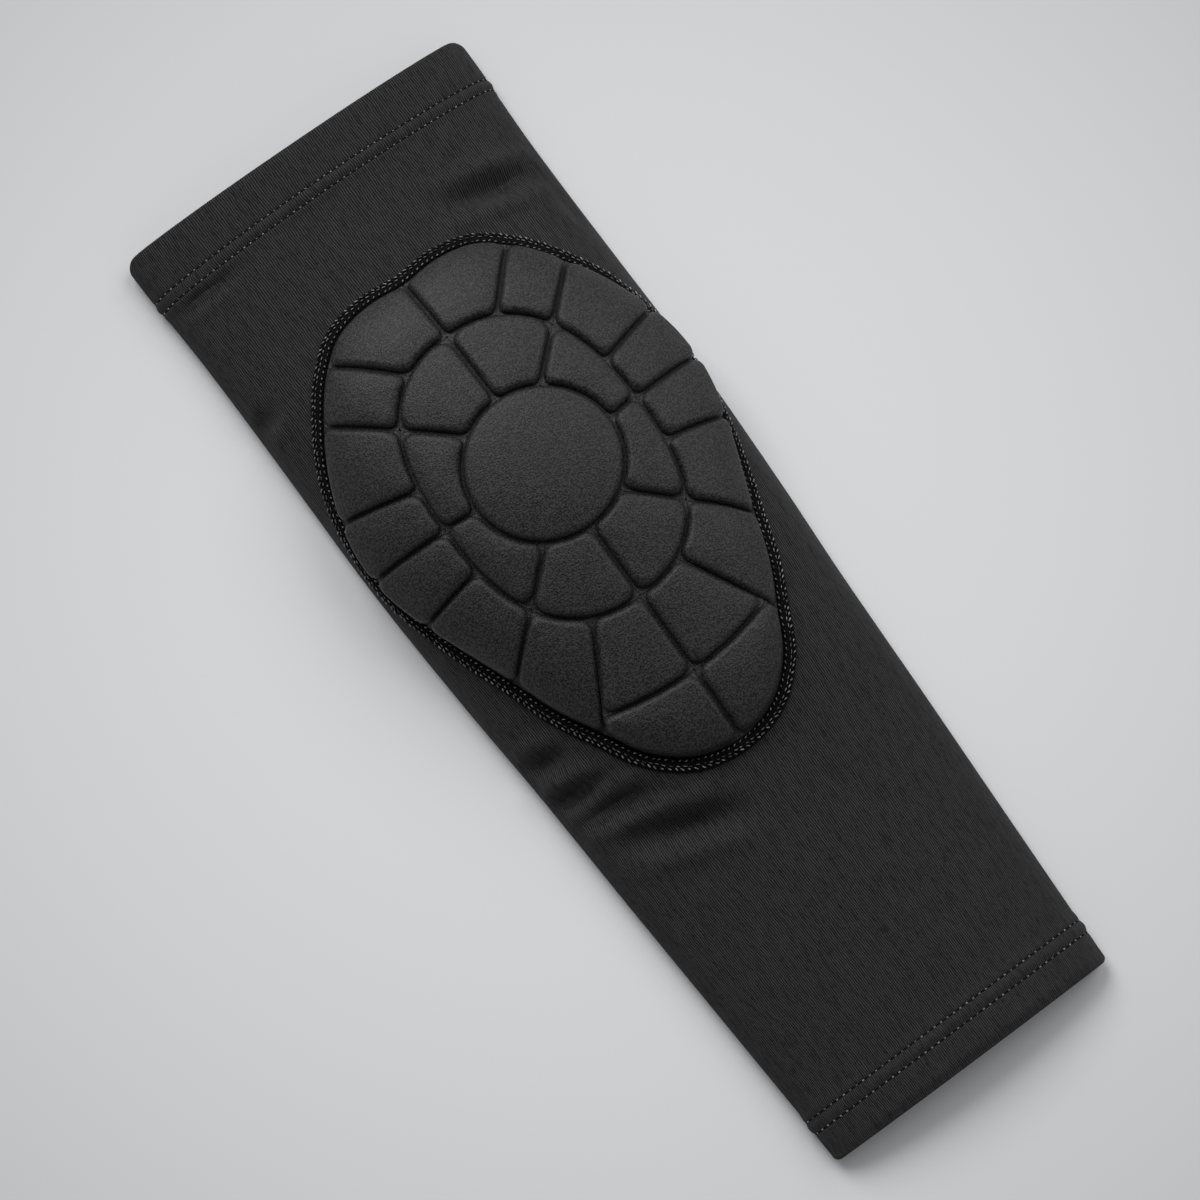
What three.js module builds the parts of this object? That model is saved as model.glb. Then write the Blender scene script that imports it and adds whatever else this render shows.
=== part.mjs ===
// A slip-on knee pad for riding: a tube of stretch knit with a pad of separate foam blocks sewn to its front.
// It lies on its back with the pad up. Millimetres: +Y runs up the leg to the thigh end, +Z out through the pad,
// and the origin is on the floor under the middle of the tube.
import * as THREE from "three";

const rad = THREE.MathUtils.degToRad;

// The knit tube. It lies flat underneath, curls up at both sides and arches over at the front.
const HALF_LENGTH = 202.5; // middle of the tube to either open edge
const CLOTH = 1.4; // wall of the knit
const SIDE_HEIGHT = 6.5; // height of the widest line above the floor
const SIDE_CURL = 11; // how far a side curls under before it lies flat
const ARCH_POWER = 1.4; // 1 is a half ellipse, 2 a parabola
const CLEAR = 0.5; // gap that parts neighbouring pieces

// Sections of the lying tube: place along the leg, half the width, and rise of the front above the widest line.
const SECTIONS = [
  { along: -202.5, halfWidth: 58.9, arch: 10.5 }, // calf edge
  { along: -184, halfWidth: 59.5, arch: 10.5 }, // calf hem seam
  { along: -122, halfWidth: 61.5, arch: 11.0 },
  { along: -87, halfWidth: 63.2, arch: 12.2 },
  { along: -66, halfWidth: 64.2, arch: 14.5 }, // foot of the pad
  { along: -37, halfWidth: 65.8, arch: 18.2 },
  { along: -2, halfWidth: 68.0, arch: 23.0 },
  { along: 50, halfWidth: 70.4, arch: 27.0 }, // kneecap
  { along: 106, halfWidth: 70.6, arch: 22.0 },
  { along: 134, halfWidth: 70.6, arch: 16.0 }, // head of the pad
  { along: 158, halfWidth: 70.6, arch: 12.8 },
  { along: 179, halfWidth: 71.4, arch: 11.5 }, // thigh hem seam
  { along: 202.5, halfWidth: 72.4, arch: 11.5 }, // thigh edge
];

// Soft folds in the front of the knit beside the pad: middle, direction, reach to each end and side, and rise (a
// valley is negative).
const FOLDS = [
  { across: 46, along: 147, turn: -9, halfLength: 27, halfWidth: 8, rise: -2.2 },
  { across: 71, along: 128, turn: 97, halfLength: 17, halfWidth: 6, rise: -1.2 },
  { across: -70, along: 124, turn: 20, halfLength: 9, halfWidth: 6, rise: -0.8 },
  { across: -58, along: -35, turn: 0, halfLength: 11, halfWidth: 7, rise: -1.0 },
  { across: -54, along: -51, turn: 15, halfLength: 13, halfWidth: 6, rise: -1.6 },
  { across: -45, along: -60, turn: 4, halfLength: 14, halfWidth: 6, rise: -1.6 },
  { across: -28, along: -80, turn: -5, halfLength: 26, halfWidth: 9, rise: -1.8 },
];

// Turned hems: two layers of the knit, with a ridge between the two rows of stitching and a rolled open edge.
const HEM_CLOTH = 2.4;
const THIGH_HEM = { depth: 23, rowFromEdge: [17.3, 22] };
const CALF_HEM = { depth: 18.5, rowFromEdge: [12, 17] };
const HEM_RIDGE = 0.5; // swell between the rows
const HEM_ROLL = 0.9; // the open edge rounds in by this

// The pad, drawn flat and wrapped over the tube. Bearings are degrees round the kneecap, 90 towards the thigh.
const KNEE = 47.4; // middle of the kneecap block along the leg
const CAP_RADIUS = 27; // groove round the kneecap block
const RING = { middle: 47.8, halfWidth: 39, halfHeight: 56.2, squareness: 2.4 }; // groove round the inner blocks
const SHIN = { middle: -39.5, halfWidth: 33.3, rise: 5.5 }; // groove above the two lowest blocks
const GROOVE = 1.5; // width of every groove at its floor
const BACKING = 1.2; // sheet under the blocks
const BACKING_EDGE = 0.6; // the sheet shows this far outside the blocks
const BLOCK = { height: 8, edgeRound: 2.2, crown: 0.5, corner: 4 };
const SEAM = { width: 4.8, height: 1.4 };

// Share of its height that an outer block loses at the seam: `side` where the pad wraps round the sides of the tube,
// up to 12 degrees off level, and `end` from 36 degrees on.
const OUTER_THINNING = { side: 0.25, end: 0.5, sideUpTo: 12, endFrom: 36 };

// Outer edge of the blocks: bearing and reach from the middle of the kneecap block.
const EDGE = [
  { bearing: -90, reach: 114.0 },
  { bearing: -82, reach: 111.7 },
  { bearing: -74, reach: 103.6 },
  { bearing: -67, reach: 93.1 },
  { bearing: -59, reach: 84.7 },
  { bearing: -47, reach: 74.3 },
  { bearing: -33, reach: 68.7 },
  { bearing: -17, reach: 67.1 },
  { bearing: 4, reach: 70.0 },
  { bearing: 22, reach: 72.6 },
  { bearing: 48, reach: 78.1 },
  { bearing: 64, reach: 84.5 },
  { bearing: 71, reach: 87.0 },
  { bearing: 80, reach: 86.3 },
  { bearing: 90, reach: 83.8 },
];

// Grooves of the right half, from the top down: bearings where each leaves its inner curve and meets its outer one.
const INNER_GROOVES = [
  { cap: 90, ring: 90 },
  { cap: 57.2, ring: 51.2 },
  { cap: 0, ring: 2 },
  { cap: -56, ring: -50.5 },
  { cap: -90, ring: -90 },
];
const OUTER_GROOVES = [
  { ring: 90, edge: 90 },
  { ring: 71.5, edge: 63.2 },
  { ring: 51.2, edge: 48.9 },
  { ring: 24.7, edge: 22.6 },
  { ring: 1, edge: 3.7 },
  { ring: -23.7, edge: -16.9 },
  { ring: -50.5, edge: -47.2 },
  { ring: -72, edge: -67.5 },
];

const knit = new THREE.MeshStandardMaterial({ color: "#2f2f31", roughness: 0.95 });
const foamFace = new THREE.MeshStandardMaterial({ color: "#3b3b3d", roughness: 0.85 });
const backingCloth = new THREE.MeshStandardMaterial({ color: "#2a2a2c", roughness: 0.9 });
const thread = new THREE.MeshStandardMaterial({ color: "#161617", roughness: 0.6 });

// A column of a table read between its rows along a smooth curve that is level at both ends.
function smooth(rows, key, column, at) {
  let i = 0;
  while (i < rows.length - 2 && at > rows[i + 1][key]) i++;
  const slope = (k) =>
    k === 0 || k === rows.length - 1
      ? 0
      : (rows[k + 1][column] - rows[k - 1][column]) / (rows[k + 1][key] - rows[k - 1][key]);
  const span = rows[i + 1][key] - rows[i][key];
  const t = THREE.MathUtils.clamp((at - rows[i][key]) / span, 0, 1);
  const t2 = t * t;
  const t3 = t2 * t;
  return (
    rows[i][column] * (2 * t3 - 3 * t2 + 1) +
    rows[i + 1][column] * (3 * t2 - 2 * t3) +
    span * (slope(i) * (t3 - 2 * t2 + t) + slope(i + 1) * (t3 - t2))
  );
}

// Skins rings of equal length. A closed skin joins its last ring to its first; an open one ends in two poles.
function skin(rings, poles) {
  const count = rings[0].length;
  const points = rings.flat();
  const index = [];
  const bands = poles ? rings.length - 1 : rings.length;
  for (let r = 0; r < bands; r++) {
    const lower = r * count;
    const upper = ((r + 1) % rings.length) * count;
    for (let k = 0; k < count; k++) {
      const next = (k + 1) % count;
      index.push(lower + k, lower + next, upper + next, lower + k, upper + next, upper + k);
    }
  }
  if (poles) {
    const last = (rings.length - 1) * count;
    const first = points.length;
    points.push(...poles);
    for (let k = 0; k < count; k++) {
      const next = (k + 1) % count;
      index.push(first, next, k, first + 1, last + k, last + next);
    }
  }
  return new THREE.BufferGeometry().setFromPoints(points).setIndex(index);
}

const archShape = (angle) => Math.max(Math.cos(angle), 0) ** ARCH_POWER;

// Point on the tube's front, by angle round the arch from its top.
function front(angle, along) {
  return new THREE.Vector3(
    smooth(SECTIONS, "along", "halfWidth", along) * Math.sin(angle),
    along,
    SIDE_HEIGHT + smooth(SECTIONS, "along", "arch", along) * archShape(angle),
  );
}

function frontNormal(angle, along) {
  const side = Math.PI / 2;
  const round = front(Math.min(angle + 1e-3, side), along).sub(front(Math.max(angle - 1e-3, -side), along));
  const up = front(angle, along + 0.1).sub(front(angle, along - 0.1));
  return round.cross(up).normalize();
}

// Lays a flat pattern over the front: distance round from the middle line, place along, and lift off the knit.
function wrap(across, along, lift) {
  const step = 0.01;
  let angle = 0;
  let left = Math.abs(across);
  while (angle < Math.PI / 2) {
    const run = front(angle, along).distanceTo(front(angle + step, along));
    if (run >= left) {
      angle += (step * left) / run;
      break;
    }
    left -= run;
    angle += step;
  }
  angle *= Math.sign(across);
  return front(angle, along).addScaledVector(frontNormal(angle, along), lift);
}

function foldRise(across, along) {
  let rise = 0;
  for (const f of FOLDS) {
    const c = Math.cos(rad(f.turn));
    const s = Math.sin(rad(f.turn));
    const run = ((across - f.across) * c + (along - f.along) * s) / f.halfLength;
    const off = ((along - f.along) * c - (across - f.across) * s) / f.halfWidth;
    if (Math.abs(run) < 1 && Math.abs(off) < 1)
      rise += f.rise * Math.cos((Math.PI / 2) * run) ** 2 * Math.cos((Math.PI / 2) * off) ** 2;
  }
  return rise;
}

// One ring of the tube: over the arch from left to right, then back underneath. `swell` moves the arch and the sides
// out, `inset` moves the whole ring in by a wall's thickness.
const ARCH_STEPS = 18;
const CURL_STEPS = 3;
function tubeRing(along, swell, inset) {
  const halfWidth = smooth(SECTIONS, "along", "halfWidth", along) + swell;
  const arch = smooth(SECTIONS, "along", "arch", along) + swell;
  const ring = [];
  for (let k = 0; k <= ARCH_STEPS; k++) {
    const angle = Math.PI * (k / ARCH_STEPS - 0.5);
    const p = new THREE.Vector3(
      (halfWidth - inset) * Math.sin(angle),
      along,
      SIDE_HEIGHT + (arch - inset) * archShape(angle),
    );
    ring.push(p.addScaledVector(frontNormal(angle, along), foldRise(acrossTo(angle, along), along)));
  }
  for (const side of [1, -1]) {
    for (let k = 1; k <= CURL_STEPS; k++) {
      const turn = (Math.PI / 2) * (side > 0 ? k / CURL_STEPS : 1 - (k - 1) / CURL_STEPS);
      ring.push(
        new THREE.Vector3(
          side * (halfWidth - SIDE_CURL + (SIDE_CURL - inset) * Math.cos(turn)),
          along,
          SIDE_HEIGHT - (SIDE_HEIGHT - inset) * Math.sin(turn),
        ),
      );
    }
    if (side > 0) ring.push(new THREE.Vector3(0, along, inset));
  }
  return ring;
}

// Distance round the front from the middle line to an angle of the arch.
function acrossTo(angle, along) {
  const steps = 24;
  let across = 0;
  for (let k = 0; k < steps; k++)
    across += front((angle * k) / steps, along).distanceTo(front((angle * (k + 1)) / steps, along));
  return Math.sign(angle) * across;
}

// A tube from its stations: out along the outside and back along the inside.
function tube(stations, wall) {
  const outside = stations.map((s) => tubeRing(s.along, s.swell, s.inset ?? 0));
  const inside = stations.map((s) => tubeRing(s.along, s.swell, s.wall ?? wall)).reverse();
  return skin([...outside, ...inside]);
}

// The sleeve, with close stations where the knit folds.
const sleeveFrom = -HALF_LENGTH + CALF_HEM.depth + CLEAR / 2;
const sleeveTo = HALF_LENGTH - THIGH_HEM.depth - CLEAR / 2;
const sleeveStations = [];
for (let along = sleeveFrom; along < sleeveTo - 6; ) {
  sleeveStations.push({ along, swell: 0 });
  const folded = FOLDS.some((f) => Math.abs(along - f.along) < f.halfWidth + 6);
  along += folded ? 5.5 : 15;
}
sleeveStations.push({ along: sleeveTo, swell: 0 });

// A hem, from its seam with the sleeve out to the open edge. `end` is +1 at the thigh and -1 at the calf.
function hem({ depth, rowFromEdge: [outerRow, innerRow] }, end) {
  const stations = [
    { fromEdge: depth - CLEAR / 2, swell: 0.1 },
    { fromEdge: (innerRow + outerRow) / 2, swell: 0.1 + HEM_RIDGE },
    { fromEdge: outerRow, swell: 0.1 },
    { fromEdge: HEM_ROLL, swell: 0.4 },
    { fromEdge: 0, swell: 0.4, inset: HEM_ROLL * 0.7, wall: HEM_CLOTH - HEM_ROLL * 0.7 },
  ].map((s) => ({ ...s, along: end * (HALF_LENGTH - s.fromEdge) }));
  return tube(end > 0 ? stations : stations.reverse(), HEM_CLOTH);
}

// Curves of the flat pattern.
const spot = (bearing, reach, middle) =>
  new THREE.Vector2(reach * Math.cos(rad(bearing)), middle + reach * Math.sin(rad(bearing)));
const onCap = (bearing) => spot(bearing, CAP_RADIUS, KNEE);
const onEdge = (bearing) => spot(bearing, smooth(EDGE, "bearing", "reach", bearing), KNEE);
const onShin = (across) =>
  new THREE.Vector2(across, SHIN.middle + SHIN.rise * (across / SHIN.halfWidth) ** 2);
function onRing(bearing) {
  const n = RING.squareness;
  const w = Math.abs(Math.cos(rad(bearing)) / RING.halfWidth) ** n;
  const h = Math.abs(Math.sin(rad(bearing)) / RING.halfHeight) ** n;
  return spot(bearing, (w + h) ** (-1 / n), RING.middle);
}

// The pad's edge moved outwards by `out`, all the way round.
const EDGE_STEPS = 52;
function edgeLoop(out) {
  const loop = [];
  for (let k = 0; k < EDGE_STEPS; k++) {
    const turn = -90 + (360 * (k + 0.5)) / EDGE_STEPS;
    const right = turn < 90;
    const bearing = right ? turn : 180 - turn;
    const tangent = onEdge(Math.min(bearing + 0.2, 90)).sub(onEdge(Math.max(bearing - 0.2, -90))).normalize();
    const p = onEdge(bearing).add(new THREE.Vector2(tangent.y, -tangent.x).multiplyScalar(out));
    loop.push(right ? p : new THREE.Vector2(-p.x, p.y));
  }
  return loop;
}

// The backing sheet: rings of the pad's edge drawn in towards the kneecap, on both faces of the sheet.
function backing() {
  const edge = edgeLoop(BACKING_EDGE);
  const inwards = [1, 0.92, 0.83, 0.72, 0.56, 0.3];
  const face = (lift) => inwards.map((f) => edge.map((p) => wrap(p.x * f, KNEE + (p.y - KNEE) * f, lift)));
  const under = face(CLEAR).reverse();
  return skin(
    [...under, ...face(CLEAR + BACKING)],
    [wrap(0, KNEE, CLEAR), wrap(0, KNEE, CLEAR + BACKING)],
  );
}

// The overlocked seam: a low rounded band on the knit, just outside the backing.
function seam() {
  const section = [
    { out: 0, lift: 0.5 },
    { out: 0.5, lift: 0.5 },
    { out: 1, lift: 0.5 },
    { out: 1, lift: 0.5 + SEAM.height * 0.5 },
    { out: 0.5, lift: 0.5 + SEAM.height },
    { out: 0, lift: 0.5 + SEAM.height * 0.7 },
  ];
  const loops = section.map(({ out }) => edgeLoop(BACKING_EDGE + CLEAR + out * SEAM.width));
  const rings = section.map(({ lift }, i) => loops[i].map((p) => wrap(p.x, p.y, lift)));
  return skin(rings);
}

// A block between two curves of the pattern, `inner(t)` and `outer(t)`, with straight grooves at both ends.
// `ring` places its rounded outline, drawn in from the grooves and from the outer curve.
const base = CLEAR + BACKING + CLEAR;
function block(inner, outer, { outerGroove = GROOVE / 2, thinning = () => 0 } = {}) {
  const at = (u, v) => inner(u).lerp(outer(u), v);
  const outline = (drawIn, corner, shrink) => {
    const wide = at(0, 0.5).distanceTo(at(1, 0.5));
    const deep = at(0.5, 0).distanceTo(at(0.5, 1));
    const cu = Math.min(corner / wide, 0.45);
    const cv = Math.min(corner / deep, 0.45);
    const loop = [];
    for (const [u, v, start] of [[1, 0, -90], [1, 1, 0], [0, 1, 90], [0, 0, 180]]) {
      for (const turn of [0, 45, 90]) {
        const a = rad(start + turn);
        loop.push([
          u + (u ? -cu : cu) + cu * Math.cos(a),
          v + (v ? -cv : cv) + cv * Math.sin(a),
        ]);
      }
      if (start === -90 || start === 90) loop.push([u, 0.5]);
      else for (const t of [1 / 3, 2 / 3]) loop.push([start === 0 ? 1 - t : t, v]);
    }
    return loop.map(([u, v]) => {
      const su = 0.5 + (u - 0.5) * shrink;
      const sv = 0.5 + (v - 0.5) * shrink;
      const mu = (drawIn + GROOVE / 2) / at(0, sv).distanceTo(at(1, sv));
      const span = at(su, 0).distanceTo(at(su, 1));
      const m0 = (drawIn + GROOVE / 2) / span;
      const m1 = (drawIn + outerGroove) / span;
      const depth = m0 + sv * (1 - m0 - m1);
      const p = at(mu + su * (1 - 2 * mu), depth);
      return { p, thin: 1 - thinning(p) * depth ** 3 };
    });
  };
  const ring = (drawIn, corner, shrink, lift) =>
    outline(drawIn, corner, shrink).map(({ p, thin }) => wrap(p.x, p.y, base + (lift - base) * thin));
  return raised(ring, at(0.5, 0.5));
}

// The sides, rounded top edge and crown that every block shares.
function raised(ring, middle) {
  const { height, edgeRound, crown, corner } = BLOCK;
  const top = base + height;
  return skin(
    [
      ring(0, corner, 0.5, base),
      ring(0, corner, 1, base),
      ring(0.2, corner, 1, top - edgeRound),
      ring(edgeRound * 0.9, corner - 1, 1, top - 0.15),
      ring(edgeRound, corner - 1, 0.55, top + crown * 0.8),
    ],
    [wrap(middle.x, middle.y, base), wrap(middle.x, middle.y, top + crown)],
  );
}

const CAP_STEPS = 24;
function cap() {
  const ring = (drawIn, corner, shrink, lift) =>
    Array.from({ length: CAP_STEPS }, (_, k) => {
      const p = spot((360 * k) / CAP_STEPS, (CAP_RADIUS - GROOVE / 2 - drawIn) * shrink, KNEE);
      return wrap(p.x, p.y, lift);
    });
  return raised(ring, new THREE.Vector2(0, KNEE));
}

const kneePad = new THREE.Group();
function add(name, geometry, material, mirrored = false) {
  geometry.computeVertexNormals();
  const mesh = new THREE.Mesh(geometry, material);
  mesh.name = name;
  if (mirrored) mesh.scale.x = -1;
  kneePad.add(mesh);
}

add("sleeve", tube(sleeveStations, CLOTH), knit);
add("thigh_hem", hem(THIGH_HEM, 1), knit);
add("calf_hem", hem(CALF_HEM, -1), knit);
add("pad_backing", backing(), backingCloth);
add("pad_seam", seam(), thread);
add("pad_cap", cap(), foamFace);

// Blocks of the right half, mirrored for the left.
const { lerp: mix, radToDeg, smoothstep } = THREE.MathUtils;
function outerThinning(p) {
  const { side, end, sideUpTo, endFrom } = OUTER_THINNING;
  const offLevel = Math.abs(radToDeg(Math.atan2(p.y - KNEE, p.x)));
  return mix(side, end, smoothstep(offLevel, sideUpTo, endFrom));
}
const seamSide = { outerGroove: 0, thinning: outerThinning };
const blocks = [];
for (let i = 1; i < INNER_GROOVES.length; i++) {
  const [a, b] = [INNER_GROOVES[i], INNER_GROOVES[i - 1]];
  blocks.push({
    name: (side) => `pad_inner_${side}_${i}`,
    geometry: block((t) => onCap(mix(b.cap, a.cap, t)), (t) => onRing(mix(b.ring, a.ring, t))),
  });
}
for (let i = 1; i < OUTER_GROOVES.length; i++) {
  const [a, b] = [OUTER_GROOVES[i], OUTER_GROOVES[i - 1]];
  blocks.push({
    name: (side) => `pad_outer_${side}_${i}`,
    geometry: block((t) => onRing(mix(b.ring, a.ring, t)), (t) => onEdge(mix(b.edge, a.edge, t)), seamSide),
  });
}
const lastGroove = OUTER_GROOVES[OUTER_GROOVES.length - 1];
blocks.push({
  name: (side) => `pad_outer_${side}_8`,
  geometry: block((t) => onRing(mix(lastGroove.ring, -90, t)), (t) => onShin(SHIN.halfWidth * (1 - t))),
});
blocks.push({
  name: (side) => `pad_outer_${side}_9`,
  geometry: block((t) => onShin(SHIN.halfWidth * (1 - t)), (t) => onEdge(mix(lastGroove.edge, -90, t)), seamSide),
});
for (const { name, geometry } of blocks) {
  add(name("right"), geometry, foamFace);
  add(name("left"), geometry.clone(), foamFace, true);
}

export default kneePad;
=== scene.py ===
# A slip-on knee pad for riding, lying on its back: a stretch-knit tube with a domed pad of foam blocks.
# Sizes are in millimetres until a mesh is made. +Y runs up the leg to the thigh end, +Z out through the pad.
import math
from functools import partial

import bpy
import numpy as np
from mathutils import Matrix, Vector


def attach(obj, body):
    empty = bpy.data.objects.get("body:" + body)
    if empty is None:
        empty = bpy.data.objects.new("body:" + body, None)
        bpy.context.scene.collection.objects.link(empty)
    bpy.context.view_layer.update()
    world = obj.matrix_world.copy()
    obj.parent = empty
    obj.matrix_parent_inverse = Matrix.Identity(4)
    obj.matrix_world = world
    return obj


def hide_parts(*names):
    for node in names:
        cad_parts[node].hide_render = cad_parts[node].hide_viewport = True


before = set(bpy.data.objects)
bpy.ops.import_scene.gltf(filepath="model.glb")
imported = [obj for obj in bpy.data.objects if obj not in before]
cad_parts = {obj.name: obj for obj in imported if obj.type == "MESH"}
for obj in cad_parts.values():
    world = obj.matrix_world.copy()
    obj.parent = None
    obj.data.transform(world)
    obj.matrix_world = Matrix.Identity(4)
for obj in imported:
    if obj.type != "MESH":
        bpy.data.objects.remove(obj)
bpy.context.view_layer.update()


# Knit tube. Polyester and elastane warp knit, cut as one panel, closed down the back and turned in at both
# ends. Lying down it is flat underneath, curls up at the sides and arches over in front, where the pad holds
# it domed.
HALF_LENGTH = 202.5
CLOTH = 1.4
SIDE_HEIGHT = 6.5
SIDE_CURL = 11.0
SIDE_ROLL = {"reach": 6.5, "drop": 2.0}
ARCH_POWER = 1.4
RING_STEPS = {"arch": 132, "curl": 10, "flat": 16}
TUBE = {
    "along": [-202.5, -184, -122, -87, -66, -37, -2, 50, 106, 134, 158, 179, 202.5],
    "half_width": [57.9, 58.8, 62.2, 64.1, 65.1, 66.6, 69.0, 71.4, 71.6, 71.7, 72.1, 73.0, 73.6],
    "arch": [10.5, 10.5, 11.0, 12.2, 14.5, 18.2, 23.0, 27.0, 22.0, 16.0, 12.8, 11.5, 11.5],
}
# Soft folds beside the pad: middle, direction, reach to each end and side, and rise (a valley is negative).
FOLDS = {
    "across": [49, 71, -70, -57, -62, -58, -49, -33, 0],
    "along": [147, 128, 124, 175, -34, -50, -61, -81, -68],
    "turn": [-10, 97, 20, 0, -14, -10, -14, -20, 0],
    "half_length": [30, 18, 12, 20, 16, 20, 22, 32, 18],
    "half_width": [8.5, 6, 7, 4.5, 7, 6.5, 7, 9, 6],
    "rise": [-4.6, -1.2, -2.4, -1.6, -3.8, -5.0, -5.2, -5.4, 1.5],
}
# A fold fades out past its half width, with a low wave the other way on each side of it, and it fades out
# towards the sides of the tube.
FOLD_SPREAD = 1.8
FOLD_HALF_WAVES = 1.25
FOLD_CLEAR = 7.0
# Turned hems: doubled cloth, with a ridge between the two rows of stitching and a groove along each row.
HEM_CLOTH = 2.4
HEM_SWELL = 0.4
HEM_FADE = {"before": 1.0, "after": 3.0}
HEM_RIDGE = {"rise": 0.45, "half_width": 1.4}
ROW_GROOVE = {"drop": 0.35, "half_width": 0.6}
ROLL_REACH = 4.0
CORNER_REACH = 2.5
# Distances from the open edge to the two rows of stitching, to a ring halfway inside and to where the second
# layer ends, size of the rounded corners, how far they run past the middle, and the front's roll down.
THIGH_HEM = {"rows": (17.3, 22.0), "halfway": 12.0, "depth": 23.0, "corner": 3.4, "flare": 1.4, "roll": 0.5}
CALF_HEM = {"rows": (12.0, 17.0), "halfway": 10.0, "depth": 18.5, "corner": 1.2, "flare": -0.3, "roll": 2.4}


def read_column(table, key, column, at):
    """A column of a table along a smooth curve through its rows, level at both ends."""
    x, y = np.array(table[key], float), np.array(table[column], float)
    slope = np.zeros_like(y)
    slope[1:-1] = (y[2:] - y[:-2]) / (x[2:] - x[:-2])
    i = np.clip(np.searchsorted(x, at) - 1, 0, len(x) - 2)
    span = x[i + 1] - x[i]
    t = np.clip((at - x[i]) / span, 0, 1)
    rise = y[i] * (2 * t**3 - 3 * t**2 + 1) + y[i + 1] * (3 * t**2 - 2 * t**3)
    return rise + span * (slope[i] * (t**3 - 2 * t**2 + t) + slope[i + 1] * (t**3 - t**2))


def arch_shape(angle):
    return np.clip(np.cos(angle), 0, 1) ** ARCH_POWER


def tube_front(angle, along):
    """Points on the tube's front, by angle round the arch from its top."""
    angle, along = np.broadcast_arrays(np.asarray(angle, float), np.asarray(along, float))
    half_width = read_column(TUBE, "along", "half_width", along)
    arch = read_column(TUBE, "along", "arch", along)
    return np.stack([half_width * np.sin(angle), along, SIDE_HEIGHT + arch * arch_shape(angle)], -1)


def tube_normal(angle, along, turn_step=1e-3, along_step=0.1):
    """Directions out of the tube's front, from small steps round it and along it."""
    side = math.pi / 2
    before, after = np.maximum(angle - turn_step, -side), np.minimum(angle + turn_step, side)
    round_it = tube_front(after, along) - tube_front(before, along)
    up = tube_front(angle, along + along_step) - tube_front(angle, along - along_step)
    normal = np.cross(round_it, up)
    return normal / np.linalg.norm(normal, axis=-1, keepdims=True)


# Distance round the front from the middle line, for each millimetre along the leg and each angle of the
# arch, and the angle that is reached after each step of cloth.
STATIONS = np.arange(-204.0, 205.0)
ANGLES = np.linspace(0, math.pi / 2, 181)
arch_points = tube_front(ANGLES[None, :], STATIONS[:, None])
arch_steps = np.linalg.norm(np.diff(arch_points, axis=1), axis=-1)
REACHES = np.concatenate([np.zeros((len(STATIONS), 1)), np.cumsum(arch_steps, axis=1)], axis=1)
CLOTH_STEP = 0.5
CLOTH_RUN = np.arange(0, 110, CLOTH_STEP)
TURNS = np.array([np.interp(CLOTH_RUN, reach, ANGLES) for reach in REACHES])


def between(grid, rows, columns):
    """A grid read between its rows and columns."""
    rows = np.clip(rows, 0, grid.shape[0] - 1.001)
    columns = np.clip(columns, 0, grid.shape[1] - 1.001)
    r, c = rows.astype(int), columns.astype(int)
    fr, fc = rows - r, columns - c
    low = grid[r, c] * (1 - fc) + grid[r, c + 1] * fc
    high = grid[r + 1, c] * (1 - fc) + grid[r + 1, c + 1] * fc
    return low * (1 - fr) + high * fr


def across_at(angle, along):
    return np.sign(angle) * between(REACHES, along - STATIONS[0], np.abs(angle) / ANGLES[1])


def wrap(across, along, lift):
    """Lays a flat pattern over the front, by distance round it, place along it and lift off the knit."""
    across, along = np.asarray(across, float), np.asarray(along, float)
    angle = np.sign(across) * between(TURNS, along - STATIONS[0], np.abs(across) / CLOTH_STEP)
    return tube_front(angle, along) + tube_normal(angle, along) * np.asarray(lift)[..., None]


def ease(start, end, at):
    t = np.clip((at - start) / (end - start), 0, 1)
    return t * t * (3 - 2 * t)


def fold_rise(across, along):
    rise = np.zeros(np.broadcast(across, along).shape)
    for a, b, turn, long, wide, height in zip(*FOLDS.values()):
        c, s = math.cos(math.radians(turn)), math.sin(math.radians(turn))
        run = np.clip(((across - a) * c + (along - b) * s) / long, -1, 1)
        off = np.clip(((along - b) * c - (across - a) * s) / (FOLD_SPREAD * wide), -1, 1)
        wave = np.cos(FOLD_HALF_WAVES * math.pi * off) * np.cos(math.pi / 2 * off) ** 2
        rise += height * np.cos(math.pi / 2 * run) ** 2 * wave
    to_side = across_at(np.full(rise.shape, math.pi / 2), along + 0 * rise) - np.abs(across)
    return rise * ease(0, FOLD_CLEAR, to_side)


def hem_out(from_edge, hem):
    """How far the hem's face stands out from the plain tube."""
    outer, inner = hem["rows"]
    end = hem["depth"]
    out = HEM_SWELL * (1 - ease(end - HEM_FADE["before"], end + HEM_FADE["after"], from_edge))
    from_ridge = (from_edge - (inner + outer) / 2) / HEM_RIDGE["half_width"]
    out = out + HEM_RIDGE["rise"] * np.exp(-(from_ridge**2))
    for row in (inner, outer):
        from_row = (from_edge - row) / ROW_GROOVE["half_width"]
        out = out - ROW_GROOVE["drop"] * np.exp(-(from_row**2))
    return out


def edge_roll(from_edge, hem):
    """How far the front of the hem rolls down towards its open edge."""
    return hem["roll"] * np.clip(1 - from_edge / ROLL_REACH, 0, 1) ** 2


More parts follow.
